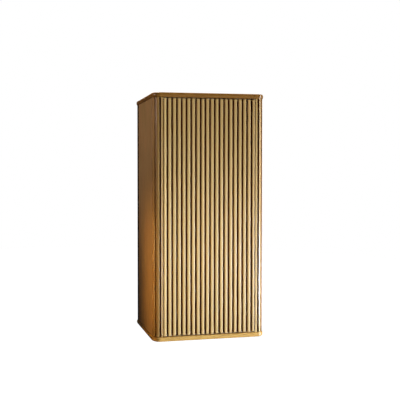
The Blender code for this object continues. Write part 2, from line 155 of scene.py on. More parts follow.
def oak(name, colour, roughness=0.40, contrast=1.0, figure_share=0.30, relief=1.0, coat=0.30, gloss=0.24, sheen=0.50, tints=1.0, fine=1.0):
    """Oak veneer or lipping: growth rings, fine fibres, open pores, and a tone of its own for each piece.
    The corner attribute "grain" holds a point's place, its third value along the grain; "tone" is one number a piece."""
    f = Finish(name)
    place = f.scaled(f.node("Attribute", attribute_name="grain").outputs["Vector"], (1000.0,) * 3)
    tone = f.node("Attribute", attribute_name="tone").outputs["Fac"]

    figure = f.noise(f.scaled(place, (0.040, 0.040, 0.0016)), 2.0, 0.45, 0.25)
    rings = f.math("FRACT", f.math("MULTIPLY", figure, 10.0))
    # slow rise through the early wood, quick fall after the late wood
    ring_tone = f.ramp(rings, [(0.0, (0.30,) * 3), (0.16, (0.86,) * 3), (0.62, (0.60,) * 3), (0.93, (0.12,) * 3), (1.0, (0.30,) * 3)])
    early = f.span(rings, 0.05, 0.45, 1.0, 0.25)
    fibres = f.noise(f.scaled(place, (1.30 * fine, 1.30 * fine, 0.030 * fine)), 4.0, 0.62)
    threads = f.noise(f.scaled(place, (3.8 * fine, 3.8 * fine, 0.09 * fine)), 2.0, 0.6)
    cloud = f.noise(f.scaled(place, (0.012, 0.012, 0.0070)), 2.0)
    warmth = f.noise(f.scaled(place, (0.030, 0.030, 0.0095)), 2.0, 0.5, 0.2)
    pores = f.noise(f.scaled(place, (3.1, 3.1, 0.11)), 1.0, 0.5)
    pores = f.math("MULTIPLY", f.span(pores, 0.585, 0.66, smooth=True), early)
    flecks = f.span(f.noise(f.scaled(place, (0.9, 0.9, 0.20)), 1.0), 0.66, 0.74, smooth=True)

    level = f.math("MULTIPLY", ring_tone, figure_share)
    level = f.math("ADD", level, f.math("MULTIPLY", f.span(fibres, 0.30, 0.70), 0.56 - figure_share / 2))
    level = f.math("ADD", level, f.math("MULTIPLY", f.span(threads, 0.30, 0.70), 0.20))
    level = f.math("ADD", level, f.math("MULTIPLY", f.span(cloud, 0.30, 0.70), 0.24 - figure_share / 2), clamp=True)
    spread = 0.24 * contrast
    dark = shade(colour, (1 - 1.15 * spread, 1 - 1.40 * spread, 1 - 1.75 * spread))
    light = shade(colour, (1 + 0.75 * spread, 1 + 0.90 * spread, 1 + 1.05 * spread))
    body = f.ramp(level, [(0.18, dark), (0.50, colour), (0.84, light)])
    drift = 0.25 + 0.5 * contrast
    # the wood drifts between a pinkish and an olive cast along its length
    body = f.mix(1.0, body, f.ramp(warmth, [(0.30, veer((1.03, 0.965, 0.93), drift)), (0.50, (1.0, 1.0, 1.0)), (0.70, veer((0.97, 1.0, 0.92), drift))]), "MULTIPLY")
    body = f.mix(f.math("MULTIPLY", flecks, 0.16), body, shade(colour, (1.18, 1.2, 1.22)))
    body = f.mix(f.math("MULTIPLY", pores, 0.40), body, shade(colour, (0.46, 0.37, 0.28)))
    if tints > 0:
        tint = f.ramp(
            tone,
            [
                (0.00, veer((0.94, 0.93, 0.90), tints)),
                (0.22, veer((1.00, 0.98, 0.93), tints)),
                (0.42, veer((0.96, 0.98, 0.91), tints)),
                (0.62, veer((1.00, 0.955, 0.94), tints)),
                (0.82, veer((0.98, 0.96, 0.87), tints)),
                (1.00, (1.00, 1.00, 1.00)),
            ],
        )
        body = f.mix(1.0, body, tint, "MULTIPLY")
    f.set(Base_Color=body)
    dull = f.math("ADD", f.span(fibres, 0.3, 0.7, roughness + 0.04, roughness - 0.04), f.math("MULTIPLY", pores, 0.15))
    f.set(Roughness=dull, Coat_Weight=coat, Coat_Roughness=gloss, Specular_IOR_Level=sheen)
    height = f.math("SUBTRACT", f.math("MULTIPLY", f.span(fibres, 0.25, 0.75), 0.45), pores)
    height = f.math("ADD", height, f.math("MULTIPLY", threads, 0.30))
    f.bump(height, 0.035 * relief, 0.7)
    return f.material


def stained(name, colour, roughness=0.6):
    """Board coloured almost black-brown, its grain just showing; in the grooves this colour is partly stain and partly
    painted shade.
    """
    f = Finish(name)
    place = f.scaled(f.node("Attribute", attribute_name="grain").outputs["Vector"], (1000.0,) * 3)
    fibres = f.noise(f.scaled(place, (0.9, 0.9, 0.014)), 4.0, 0.6)
    cloud = f.noise(f.scaled(place, (0.02, 0.02, 0.008)), 2.0)
    level = f.math("ADD", f.math("MULTIPLY", f.span(fibres, 0.3, 0.7), 0.65), f.math("MULTIPLY", f.span(cloud, 0.3, 0.7), 0.35))
    f.set(Base_Color=f.ramp(level, [(0.1, shade(colour, 0.55)), (0.5, colour), (0.9, shade(colour, (1.5, 1.45, 1.35)))]))
    f.set(Roughness=f.span(fibres, 0.3, 0.7, roughness + 0.08, roughness - 0.06), Specular_IOR_Level=0.15)
    f.bump(fibres, 0.06, 0.7)
    return f.material


def laminate(name, colour):
    """Light wood-print board: a soft printed grain under a fine pressed texture."""
    f = Finish(name)
    place = f.scaled(f.node("Attribute", attribute_name="grain").outputs["Vector"], (1000.0,) * 3)
    figure = f.noise(f.scaled(place, (0.030, 0.030, 0.0018)), 2.0, 0.5, 0.3)
    rings = f.math("PINGPONG", f.math("MULTIPLY", figure, 7.0), 1.0)
    fibres = f.noise(f.scaled(place, (0.8, 0.8, 0.012)), 3.0, 0.6)
    level = f.math("ADD", f.math("MULTIPLY", rings, 0.35), f.math("MULTIPLY", f.span(fibres, 0.3, 0.7), 0.65))
    f.set(Base_Color=f.ramp(level, [(0.1, shade(colour, (0.86, 0.82, 0.76))), (0.5, colour), (0.9, shade(colour, (1.08, 1.09, 1.1)))]))
    press = f.noise(f.scaled(place, (2.4, 2.4, 0.35)), 2.0, 0.6)
    f.set(Roughness=f.span(press, 0.3, 0.7, 0.50, 0.40), Specular_IOR_Level=0.45)
    f.bump(press, 0.05, 0.6)
    return f.material


def plated(name, colour, roughness=0.28):
    """Nickel-plated pressed steel: a faint rolled texture, a few dull patches."""
    f = Finish(name)
    place = f.scaled(f.node("TexCoord").outputs["Object"], (1000.0,) * 3)
    rolled = f.noise(f.scaled(place, (0.25, 2.2, 0.25)), 3.0, 0.6)
    patches = f.noise(f.scaled(place, (0.16, 0.16, 0.16)), 3.0)
    f.set(Base_Color=f.ramp(patches, [(0.25, shade(colour, (0.88, 0.87, 0.85))), (0.6, colour), (0.9, shade(colour, 1.06))]))
    f.set(Metallic=1.0)
    f.set(Roughness=f.math("ADD", f.span(patches, 0.3, 0.7, roughness + 0.08, roughness - 0.04), f.math("MULTIPLY", rolled, 0.08)))
    f.bump(rolled, 0.02, 0.5)
    return f.material


def moulded(name, colour, roughness=0.42, grainy=1.0):
    """Moulded plastic or rubber with a fine spark-eroded skin."""
    f = Finish(name)
    place = f.scaled(f.node("TexCoord").outputs["Object"], (1000.0,) * 3)
    skin = f.noise(f.scaled(place, (3.0,) * 3), 2.0, 0.7)
    flow = f.noise(f.scaled(place, (0.05,) * 3), 2.0)
    f.set(Base_Color=f.ramp(flow, [(0.2, shade(colour, (0.94, 0.94, 0.92))), (0.6, colour), (0.9, shade(colour, 1.03))]))
    f.set(Roughness=f.span(skin, 0.3, 0.7, roughness + 0.07, roughness - 0.07), Specular_IOR_Level=0.5)
    f.bump(skin, 0.03 * grainy, 0.6)
    return f.material


OAK_SLAT = oak("oak_slat_veneer", (0.600, 0.392, 0.124), roughness=0.40, contrast=0.20, figure_share=0.08, relief=0.25, coat=0.10, gloss=0.32, tints=0.45, fine=1.6)
# a paler copy of the slats' oak for the first slat at the door's left edge: painted highlight
OAK_SLAT_PAINTED_HIGHLIGHT = oak("oak_pale_veneer", (0.720, 0.478, 0.160), roughness=0.40, contrast=0.20, figure_share=0.08, relief=0.25, coat=0.10, gloss=0.32, tints=0.45, fine=1.6)
# a darker copy of the slats' oak for the left post's flat first strip: painted shade
OAK_STRIP_PAINTED_SHADE = oak("oak_edge_veneer", (0.480, 0.288, 0.084), roughness=0.40, contrast=0.20, figure_share=0.08, relief=0.25, coat=0.10, gloss=0.32, tints=0.45, fine=1.6)
# a dark orange oak on the right post's second flute and the strip edges either side of it: painted shade on the flank
# turned from the light
OAK_FLUTE_PAINTED_SHADE = oak("oak_flute_veneer", (0.320, 0.135, 0.026), roughness=0.50, contrast=0.30, figure_share=0.08, relief=0.25, sheen=0.2)
# the right post's oak is a lighter, less saturated copy of the left post's: painted light on the lit right corner,
# painted shade on the left
OAK_POSTS_LIT_AND_SHADED = [
    oak(f"oak_{s}_post_veneer", colour, roughness=0.48, contrast=0.30, figure_share=0.08, relief=0.3, coat=coat, gloss=gloss, sheen=0.06, tints=0.6, fine=1.6)
    for s, colour, coat, gloss in (("left", (0.498, 0.286, 0.080), 1.0, 0.19), ("right", (0.540, 0.345, 0.122), 0.50, 0.23))
]
# the top cap's oak is a darker copy of the bottom cap's: painted shade, the top of the cabinet getting less light
OAK_TOP_CAP_SHADED = oak("oak_top_cap_veneer", (0.310, 0.149, 0.025), roughness=0.48, contrast=0.8, relief=0.35, coat=1.0, gloss=0.18, sheen=0.06)
OAK_BOTTOM_CAP = oak("oak_bottom_cap_veneer", (0.610, 0.365, 0.093), roughness=0.48, contrast=0.8, relief=0.35, coat=1.0, gloss=0.18, sheen=0.06)
OAK_PANEL = oak("oak_panel_veneer", (0.585, 0.350, 0.122), roughness=0.40, contrast=1.2, figure_share=0.30, tints=0.0)
OAK_LIP = oak("oak_lipping", (0.60, 0.375, 0.115), roughness=0.42)
# dark groove colour: a dark stain, deepened to painted shade in the grooves; also on the slats' sides and in the posts'
# first flute
GROOVE_STAIN_AND_SHADE = stained("stained_groove_board", (0.165, 0.053, 0.012))
# the back board's outside is almost black-brown and shows as a dark strip along the rear of each side
DARK_BACK = stained("stained_back_board", (0.050, 0.026, 0.012))
INNER = laminate("light_inner_laminate", (0.80, 0.69, 0.52))
NICKEL = plated("nickel_plated_steel", (0.66, 0.645, 0.61))
ZINC = plated("zinc_plated_steel", (0.60, 0.61, 0.62), 0.36)
PLASTIC = moulded("light_moulded_plastic", (0.78, 0.78, 0.75))
PLUNGER_GREY = moulded("grey_moulded_plastic", (0.42, 0.42, 0.41), 0.38)
RUBBER = moulded("soft_clear_rubber", (0.70, 0.70, 0.66), 0.55, 0.5)


# --- mesh helpers --------------------------------------------------------------------------------------------
def new_object(name, shape):
    """Turns a bmesh into an object, faces pointing out. A piece that stands for a CAD node is named after it."""
    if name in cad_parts:
        name += "_piece"
    bmesh.ops.recalc_face_normals(shape, faces=shape.faces)
    mesh = bpy.data.meshes.new(name)
    shape.to_mesh(mesh)
    shape.free()
    obj = bpy.data.objects.new(name, mesh)
    SCENE.collection.objects.link(obj)
    return obj


def rounded(corners, steps=4):
    """An outline from corners (x, y, radius), each rounded by its radius as far as its sides allow."""
    out = []
    for i, (x, y, radius) in enumerate(corners):
        p = Vector((x, y))
        before, after = Vector(corners[i - 1][:2]) - p, Vector(corners[(i + 1) % len(corners)][:2]) - p
        room = 0.49 * min(before.length, after.length)
        angle = before.angle(after) if radius > 0 else math.pi
        if radius <= 0 or angle > math.radians(178):
            out.append((x, y))
            continue
        cut = min(radius / math.tan(angle / 2), room)
        r = cut * math.tan(angle / 2)
        u, v = before.normalized(), after.normalized()
        centre = p + (u + v).normalized() * (r / math.sin(angle / 2))
        start, end = p + u * cut - centre, p + v * cut - centre
        a0, a1 = math.atan2(start.y, start.x), math.atan2(end.y, end.x)
        sweep = (a1 - a0 + math.pi) % math.tau - math.pi
        for k in range(steps + 1):
            t = a0 + sweep * k / steps
            out.append((centre.x + r * math.cos(t), centre.y + r * math.sin(t)))
    return out


PLACES = {"Z": lambda a, b, h: (a, b, h), "X": lambda a, b, h: (h, a, b), "Y": lambda a, b, h: (a, h, b)}


def prism(name, outline, low, high, axis="Z", ease=0.0, segments=2, rings=1):
    """An outline run along an axis (Z: outline is x, y; X: y, z; Y: x, z), the edges of its two ends eased."""
    shape = bmesh.new()
    rows = []
    for k in range(rings + 1):
        h = low + (high - low) * k / rings
        rows.append([shape.verts.new(Vector(PLACES[axis](a, b, h)) * MM) for a, b in outline])
    n = len(outline)
    for lower, upper in zip(rows, rows[1:]):
        for i in range(n):
            j = (i + 1) % n
            shape.faces.new((lower[i], lower[j], upper[j], upper[i]))
    shape.faces.new(rows[0][::-1])
    shape.faces.new(rows[-1])
    if ease:
        ends = [e for row in (rows[0], rows[-1]) for v in row for e in v.link_edges if e.other_vert(v) in set(row)]
        bmesh.ops.bevel(shape, geom=list(set(ends)), offset=ease * MM, segments=segments, profile=0.5, affect="EDGES", clamp_overlap=True)
    return new_object(name, shape)


def block(name, low, high, ease=0.5, segments=3):
    """A box between two corners, all its edges eased."""
    shape = bmesh.new()
    bmesh.ops.create_cube(shape, size=1.0)
    low, high = (Vector([min(a, b) for a, b in zip(low, high)]), Vector([max(a, b) for a, b in zip(low, high)]))
    for v in shape.verts:
        v.co = Vector([(a + b) / 2 + c * (b - a) for a, b, c in zip(low, high, v.co)]) * MM
    if ease:
        bmesh.ops.bevel(shape, geom=shape.edges[:], offset=ease * MM, segments=segments, profile=0.5, affect="EDGES", clamp_overlap=True)
    return new_object(name, shape)


def turned(name, steps, origin=(0, 0, 0), direction=(0, 0, 1), sides=48, closed=False):
    """A turned form: steps are (radius, distance along direction); closed joins the last step to the first."""
    shape = bmesh.new()
    place = Matrix.Translation(Vector(origin) * MM) @ Vector((0, 0, 1)).rotation_difference(Vector(direction)).to_matrix().to_4x4()
    rows = []
    for r, h in steps:
        if r < 1e-6:
            rows.append([shape.verts.new(place @ Vector((0, 0, h * MM)))])
        else:
            rows.append([
                shape.verts.new(place @ (Vector((r * math.cos(t), r * math.sin(t), h)) * MM))
                for t in (math.tau * k / sides for k in range(sides))
            ])
    pairs = list(zip(rows, rows[1:])) + ([(rows[-1], rows[0])] if closed else [])
    for a, b in pairs:
        for k in range(sides):
            m = (k + 1) % sides
            if len(a) == 1 and len(b) == 1:
                break
            if len(a) == 1:
                shape.faces.new((a[0], b[k], b[m]))
            elif len(b) == 1:
                shape.faces.new((a[k], a[m], b[0]))
            else:
                shape.faces.new((a[k], a[m], b[m], b[k]))
    return new_object(name, shape)


def drill(holes, sides=24):
    """One cutter of several separate cylinders: (centre, direction, radius, length) each, centre in the middle."""
    shape = bmesh.new()
    for centre, direction, radius, length in holes:
        place = Matrix.Translation(Vector(centre) * MM) @ Vector((0, 0, 1)).rotation_difference(Vector(direction)).to_matrix().to_4x4()
        bmesh.ops.create_cone(
            shape, cap_ends=True, segments=sides, radius1=radius * MM, radius2=radius * MM, depth=length * MM, matrix=place
        )
    return new_object("cutter", shape)


def carve(obj, *tools, operation="DIFFERENCE"):
    """Cuts or joins with tools, exactly, and removes them."""
    for tool in tools:
        step = obj.modifiers.new("cut", "BOOLEAN")
        step.object, step.operation, step.solver = tool, operation, "EXACT"
    bpy.context.view_layer.update()
    graph = bpy.context.evaluated_depsgraph_get()
    mesh = bpy.data.meshes.new_from_object(obj.evaluated_get(graph))
    old = obj.data
    obj.modifiers.clear()
    obj.data = mesh
    bpy.data.meshes.remove(old)
    mesh.name = obj.name
    for tool in tools:
        data = tool.data
        bpy.data.objects.remove(tool, do_unlink=True)
        bpy.data.meshes.remove(data)
    return obj


def seed_of(name):
    return np.random.default_rng(zlib.crc32(name.encode()))


def grain(obj, along="Z", custom=None):
    """Writes the attributes that the wood materials read; custom gives a grain place for each vertex, in millimetres."""
    mesh = obj.data
    rng = seed_of(obj.name)
    if custom is None:
        place = np.empty(len(mesh.vertices) * 3, np.float32)
        mesh.vertices.foreach_get("co", place)
        place = place.reshape(-1, 3)[:, {"Z": (0, 1, 2), "X": (1, 2, 0), "Y": (2, 0, 1)}[along]]
    else:
        place = np.array(custom, np.float32) * MM
    corners = np.empty(len(mesh.loops), np.int32)
    mesh.loops.foreach_get("vertex_index", corners)
    shift = rng.uniform((-0.6, -0.6, -4.0), (0.6, 0.6, 4.0)).astype(np.float32)
    mesh.attributes.new("grain", "FLOAT_VECTOR", "CORNER").data.foreach_set("vector", (place[corners] + shift).ravel())
    mesh.attributes.new("tone", "FLOAT", "POINT").data.foreach_set(
        "value", np.full(len(mesh.vertices), rng.uniform(), np.float32)
    )
    return obj


def paint(obj, *materials, pick=None):
    """Gives the materials; pick chooses one for each face from its centre (mm) and normal."""
    obj.data.materials.clear()
    for m in materials:
        obj.data.materials.append(m)
    if pick:
        for face in obj.data.polygons:
            face.material_index = pick(face.center / MM, face.normal)
    return obj


def finish_surface(obj, angle=38.0, weighted=True):
    """Smooth shading with crisp edges, flat faces kept flat beside their eased edges."""
    obj.data.shade_smooth()
    obj.data.set_sharp_from_angle(angle=math.radians(angle))
    if weighted:
        w = obj.modifiers.new("even_shading", "WEIGHTED_NORMAL")
        w.keep_sharp = True
        w.weight = 80
    return obj


def settle(obj, body, nodes=()):
    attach(obj, body)
    if nodes:
        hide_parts(*([nodes] if isinstance(nodes, str) else nodes))
    return obj


# --- caps: a veneered core with a solid oak lipping round the front and sides -----------------------------------
LIP = 6.4


def plan_path(inset, arc_steps=18):
    """Points round the cap's edge from its rear left corner to its rear right, with outward normals and run length."""
    half, front, r = WIDTH / 2 - inset, -DEPTH + inset, CAP_RADIUS - inset
    points = [((-half, 0.0), (-1.0, 0.0))]
    for i in range(1, 10):
        points.append(((-half, (front + r) * i / 10), (-1.0, 0.0)))
    for i in range(arc_steps + 1):
        t = math.radians(180 + 90 * i / arc_steps)
        points.append(((-half + r + r * math.cos(t), front + r + r * math.sin(t)), (math.cos(t), math.sin(t))))
    for i in range(1, 20):
        points.append(((-half + r + (2 * half - 2 * r) * i / 20, front), (0.0, -1.0)))
    for i in range(arc_steps + 1):
        t = math.radians(270 + 90 * i / arc_steps)
        points.append(((half - r + r * math.cos(t), front + r + r * math.sin(t)), (math.cos(t), math.sin(t))))
    for i in range(9, -1, -1):
        points.append(((half, (front + r) * i / 10), (1.0, 0.0)))
    run, lengths = 0.0, [0.0]
    for (a, _), (b, _) in zip(points, points[1:]):
        run += math.dist(a, b)
        lengths.append(run)
    return [(p, n, s) for (p, n), s in zip(points, lengths)]


def lipping(name, wood, z0, z1, ease, body):
    """The solid strip round a cap: a crowned face between rounded edges, the inner edges chamfered to a fine line."""
    section = [(LIP, z0 + 0.3), (LIP - 0.3, z0)]
    middle, reach, crown = (z0 + z1) / 2, (z1 - z0) / 2 - ease, 0.9
    for i in range(6):
        t = math.radians(270 - 90 * i / 5)
        section.append((crown + ease + ease * math.cos(t), z0 + ease + ease * math.sin(t)))
    for i in range(1, 8):
        u = -1 + 2 * i / 8
        section.append((crown * u * u, middle + reach * u))
    for i in range(6):
        t = math.radians(180 - 90 * i / 5)
        section.append((crown + ease + ease * math.cos(t), z1 - ease + ease * math.sin(t)))
    section += [(LIP - 0.3, z1), (LIP, z1 - 0.3)]
    shape = bmesh.new()
    rows, places = [], []
    for (x, y), (nx, ny), s in plan_path(0.0):
        row = []
        for d, z in section:
            row.append(shape.verts.new(Vector((x - nx * d, y - ny * d, z)) * MM))
            places.append((z, d, s))
        rows.append(row)
    m = len(section)
    for a, b in zip(rows, rows[1:]):
        for i in range(m):
            j = (i + 1) % m
            shape.faces.new((a[i], a[j], b[j], b[i]))
    shape.faces.new(rows[0])
    shape.faces.new(rows[-1][::-1])
    shape.verts.index_update()
    obj = new_object(name, shape)
    grain(obj, custom=places)
    paint(obj, wood)
    finish_surface(obj)
    return settle(obj, body, ())


def cap(label, sign, wood):
    z0, z1 = sorted((sign * INNER_TOP, sign * HEIGHT / 2))
    inset = LIP + 0.04
    outline = [p for p, _, _ in plan_path(inset)]
    core = prism(f"{label}_cap", outline, z0, z1, ease=0.3, segments=1)
    grain(core, "X")
    paint(core, wood, INNER, pick=lambda c, n: 1 if n.z * sign < -0.9 else 0)
    finish_surface(core)
    settle(core, "cabinet", f"{label}_cap")
    lipping(f"{label}_cap_lipping", wood, z0, z1, 3.8, "cabinet")


# the top cap, core and lipping, takes the darker copy of the oak: painted shade
cap("top", 1, OAK_TOP_CAP_SHADED)
cap("bottom", -1, OAK_BOTTOM_CAP)


# --- side panels with their rows of shelf holes --------------------------------------------------------------
for label, sign in SIDES:
    xs = sorted((sign * (HALF_W - BOARD), sign * HALF_W))
    panel = block(f"side_panel_{label}", (xs[0], JOINT_Y + 0.3, -BODY_TOP), (xs[1], -20.3, BODY_TOP), ease=1.1)
    holes = []
    for level, up in LEVELS:
        pin_z = (SHELF_Z if up > 0 else -SHELF_Z - SHELF_THICK) - 2.8
        for y in SHELF_PIN_Y:
            for k in range(-2, 3):
                holes.append(((sign * (HALF_W - BOARD + 4), y, pin_z + 32 * k), (1, 0, 0), 2.8 if k == 0 else 2.5, 12.0))
    carve(panel, drill(holes))
    grain(panel)
    paint(
        panel,
        OAK_PANEL,
        INNER,
        OAK_LIP,
        pick=lambda c, n, s=sign: 1 if (abs(c.x) < HALF_W - 1.6 and -199 < c.y < -20.8 and abs(n.z) < 0.9) else 0,
    )
    finish_surface(panel)
    settle(panel, "cabinet", f"side_panel_{label}")


# --- fluted corner posts -------------------------------------------------------------------------------------
def corner_point(s, sink=0.0):
    """A point on the post's face, s past the start of the rounded corner (negative on the flat), sunk in by sink."""
    cx, cy = HALF_W - BODY_RADIUS, FRONT_Y + BODY_RADIUS
    if s <= 0:
        return (cx + s, FRONT_Y + sink)
    turn, r = s / BODY_RADIUS, BODY_RADIUS - sink
    return (cx + r * math.sin(turn), cy - r * math.cos(turn))


FLUTES = (1.0, 17.6)
FLUTE_WIDTH, FLUTE_DEPTH = 6.4, 5.0


def post_face(slope):
    """The post's face as (s, sink) steps, every arris rounded, every flute floor with small fillets. Its first strip,
    on the flat, falls towards the corner by the slope."""
    last = BODY_RADIUS * math.acos(1 - (JOINT_Y - FRONT_Y) / BODY_RADIUS)
    first = POST_INNER_X - (HALF_W - BODY_RADIUS)
    lip, fillet = 0.9, 0.7
    steps = []

    def arris(s, toward):
        # a quarter round from the face (or up to it) at a strip's end
        for i in range(5):
            t = math.radians(90 * i / 4)
            steps.append((s - toward * lip * (1 - math.sin(t)), lip * (1 - math.cos(t))) if toward > 0 else
                         (s - toward * lip * (1 - math.cos(t)), lip * (1 - math.sin(t))))

    def crown(a, b, count, fall=0.0):
        for i in range(1, count):
            steps.append((a + (b - a) * i / count, (a + (b - a) * i / count - begin) * fall))

    ease = 0.8
    for i in range(5):
        t = math.radians(90 * i / 4)
        steps.append((first + ease * (1 - math.cos(t)), ease * (1 - math.sin(t))))
    begin = first + ease
    for centre in FLUTES:
        a, b = centre - FLUTE_WIDTH / 2, centre + FLUTE_WIDTH / 2
        crown(begin, a - lip, 6, slope if centre == FLUTES[0] else 0.0)
        arris(a, 1)
        for i in range(4):
            t = math.radians(90 * i / 3)
            steps.append((a + fillet * (1 - math.cos(t)), FLUTE_DEPTH - fillet * (1 - math.sin(t))))
        for i in range(4):
            t = math.radians(90 * i / 3)
            steps.append((b - fillet * (1 - math.sin(t)), FLUTE_DEPTH - fillet * (1 - math.cos(t))))
        arris(b, -1)
        begin = b + lip
    ease = 1.1
    crown(begin, last - ease, 6)
    for i in range(5):
        t = math.radians(90 * i / 4)
        steps.append((last - ease * (1 - math.sin(t)), ease * (1 - math.cos(t))))
    return steps


for label, sign in SIDES:
    face = [corner_point(s, sink) for s, sink in post_face(0.09 if sign < 0 else 0.0)]
    inner_x = HALF_W - BOARD - 0.3
    rest = [(inner_x, JOINT_Y, 0.0), (inner_x, POST_TONGUE_Y, 0.6), (POST_INNER_X, POST_TONGUE_Y, 0.6)]
    if sign < 0:
        rest += [(POST_INNER_X, -175.0, 0.8), (152.0, -175.0, 0.8), (152.0, -193.1, 0.8), (POST_INNER_X, -193.1, 0.8)]
    outline = face + rounded([(face[-1][0], face[-1][1], 0.0), *rest, (face[0][0], face[0][1], 0.0)])[1:-1]
    if sign < 0:
        outline = [(-x, y) for x, y in reversed(outline)]
    post = prism(f"corner_post_{label}", outline, -BODY_TOP, BODY_TOP, rings=8)
    grain(post)

    def post_finish(c, n):
        """Oak on the face. On the flat strip: the slats' veneer on the right post, and its darker copy on the left post
        (painted shade). Flute 1 takes the dark groove colour, partly stain and partly painted shade. Flute 2 takes the
        slats' veneer on the left; on the right it takes a dark orange oak (painted shade) that reaches onto the strip
        edges beside it. Light board on the tongue.
        """
        x, y = abs(c.x), c.y
        dx, dy = x - (HALF_W - BODY_RADIUS), y - (FRONT_Y + BODY_RADIUS)
        sink = y - FRONT_Y if dx <= 0 else BODY_RADIUS - math.hypot(dx, dy)
        s = dx if dx <= 0 else BODY_RADIUS * math.atan2(dx, -dy)
        if sink < 6.0 and abs(s - FLUTES[0]) < FLUTE_WIDTH / 2 + 0.3 and sink > (1.4 if sign < 0 else 0.6):
            return 1
        if sink < 6.0 and abs(s - FLUTES[1]) < FLUTE_WIDTH / 2 + (0.3 if sign < 0 else 1.9) and (sign > 0 or sink > 0.7):
            return 4
        if dx <= 0 and y < FRONT_Y + 3 and s < FLUTES[0] - FLUTE_WIDTH / 2 + 0.3:
            return 3
        return 2 if y > -190 else 0

    paint(post, OAK_POSTS_LIT_AND_SHADED[sign > 0], GROOVE_STAIN_AND_SHADE, INNER, *((OAK_STRIP_PAINTED_SHADE, OAK_SLAT) if sign < 0 else (OAK_SLAT, OAK_FLUTE_PAINTED_SHADE)), pick=post_finish)
    finish_surface(post, 50)
    settle(post, "cabinet", f"corner_post_{label}")


# --- back board, dark outside and light within -----------------------------------------------------------------
back = block("back_board", (-HALF_W, -20.0, -BODY_TOP), (HALF_W, 0.0, BODY_TOP), ease=0.6)
windows = [block(f"window_{s}", (s * HANGER_X - 20, -25, 340), (s * HANGER_X + 20, 5, 392), ease=0) for _, s in SIDES]
carve(back, *windows)
grain(back)
paint(back, DARK_BACK, INNER, pick=lambda c, n: 1 if n.y < -0.95 else 0)
finish_surface(back)
settle(back, "cabinet", "back_board")


# --- shelves with an oak edge at the front, and their pins -------------------------------------------------------
wide, narrow, notch_y = HALF_W - BOARD - 1.6, POST_INNER_X - 0.6, POST_TONGUE_Y + 0.6
for level, up in LEVELS:
    base = SHELF_Z if up > 0 else -SHELF_Z - SHELF_THICK
    outline = rounded(
        [
            (wide, -20.3, 0.5), (-wide, -20.3, 0.5), (-wide, notch_y, 1.5), (-narrow, notch_y, 1.0),
            (-narrow, SHELF_FRONT_Y + 1.5, 0.0), (narrow, SHELF_FRONT_Y + 1.5, 0.0), (narrow, notch_y, 1.0), (wide, notch_y, 1.5),
        ],
        3,
    )
    shelf = prism(f"shelf_{level}", outline, base, base + SHELF_THICK, ease=0.35, segments=2)
    grain(shelf, "X")
    paint(shelf, INNER)
    finish_surface(shelf)
    settle(shelf, "cabinet", f"shelf_{level}")
    edge = block(
        f"shelf_{level}_edge",
        (-narrow, SHELF_FRONT_Y, base),
        (narrow, SHELF_FRONT_Y + 1.45, base + SHELF_THICK),
        ease=0.6,
    )
    grain(edge, "X")
    paint(edge, OAK_LIP)
    finish_surface(edge)
    settle(edge, "cabinet", ())
    for label, sign in SIDES:
        for place, y in zip(("front", "rear"), SHELF_PIN_Y):
            steps = [
                (0.0, -8.0), (1.9, -8.0), (2.5, -7.4), (2.5, 0.3), (3.7, 0.3), (4.0, 0.45), (4.0, 1.05), (3.7, 1.2),
                (2.7, 1.2), (2.5, 1.4), (2.5, 7.8), (2.3, 8.25), (1.9, 8.5), (0.0, 8.5),
            ]
            pin = turned(
                f"shelf_pin_{level}_{label}_{place}", steps, (sign * (HALF_W - BOARD), y, base - 2.8), (-sign, 0, 0), sides=32
            )
            paint(pin, NICKEL)
            finish_surface(pin, 40, weighted=False)
            settle(pin, "cabinet", f"shelf_pin_{level}_{label}_{place}")


# --- door: a carrier board, its front dark with stain and painted shade between the slats, a light inner face, and twenty oak slats ---
backing = block("door_backing", (-DOOR_HALF_W + 0.6, BACKING_FRONT_Y, -DOOR_TOP), (DOOR_HALF_W - 0.6, DOOR_BACK_Y, DOOR_TOP), ease=0.5)
carve(
    backing,
    drill([((CUP_X, (-210.4 + DOOR_BACK_Y + 5) / 2, up * HINGE_Z), (0, 1, 0), 17.5, DOOR_BACK_Y + 5 + 210.4) for _, up in LEVELS], 64),
)
grain(backing)
paint(
    backing,
    GROOVE_STAIN_AND_SHADE,
    INNER,
    pick=lambda c, n: 1 if (n.y > 0.5 or c.y > -209.5 and abs(c.x) < 158 and abs(c.z) < 396) else 0,
)
finish_surface(backing)
settle(backing, "door", "door_backing")


def slat_outline(left, right, ease_left, ease_right):
    """A slat's section: a slightly crowned face between rounded arrises, the glued side flat. Front is at -Y."""
    crown, n = 0.45, 8
    mid, reach = (left + right) / 2, (right - left) / 2
    front, rear = FRONT_Y, FRONT_Y + SLAT_THICK

    def face(x):
        return front + crown * ((x - mid) / reach) ** 2

    out = [(right, rear - 0.25), (right - 0.25, rear), (left + 0.25, rear), (left, rear - 0.25)]
    for i in range(6):
        t = math.radians(90 * i / 5)
        out.append((left + ease_left * (1 - math.cos(t)), face(left + ease_left) + ease_left * (1 - math.sin(t))))
    for i in range(1, n):
        x = left + ease_left + (right - left - ease_left - ease_right) * i / n
        out.append((x, face(x)))
    for i in range(6):
        t = math.radians(90 * i / 5)
        out.append((right - ease_right * (1 - math.sin(t)), face(right - ease_right) + ease_right * (1 - math.cos(t))))
    return out


